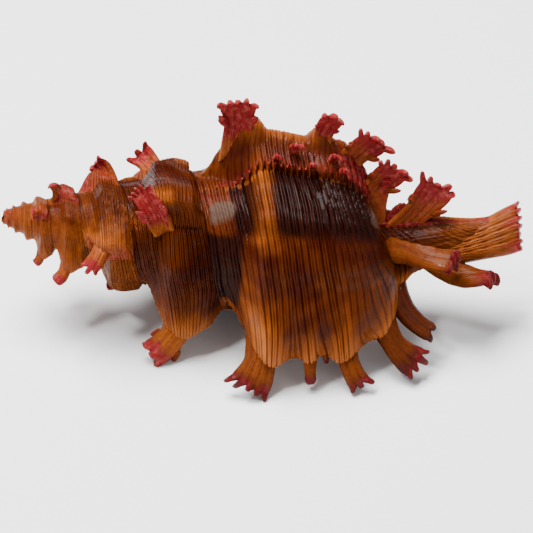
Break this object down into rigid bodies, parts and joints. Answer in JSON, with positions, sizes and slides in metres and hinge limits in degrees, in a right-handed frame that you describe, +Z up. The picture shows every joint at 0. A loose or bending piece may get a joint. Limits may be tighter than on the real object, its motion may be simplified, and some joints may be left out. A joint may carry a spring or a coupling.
{
  "type": "murex shell",
  "caption": "Right-handed spined sea shell with a tall coiled spire, frilled ridges of branched fronds, a recurved canal and an oval mouth, lying mouth down.",
  "frame": {"origin": "centre of the bounding box on the resting plane, under the last whorl", "axes": "+X along the shell from apex to canal tip, +Z up from the resting plane, -Y the side shown in use"},
  "size_m": [0.1084, 0.053, 0.052],
  "materials": {
    "shell": "satin"
  },
  "bodies": {
    "root": {"shell": "shell"}
  },
  "joints": []
}
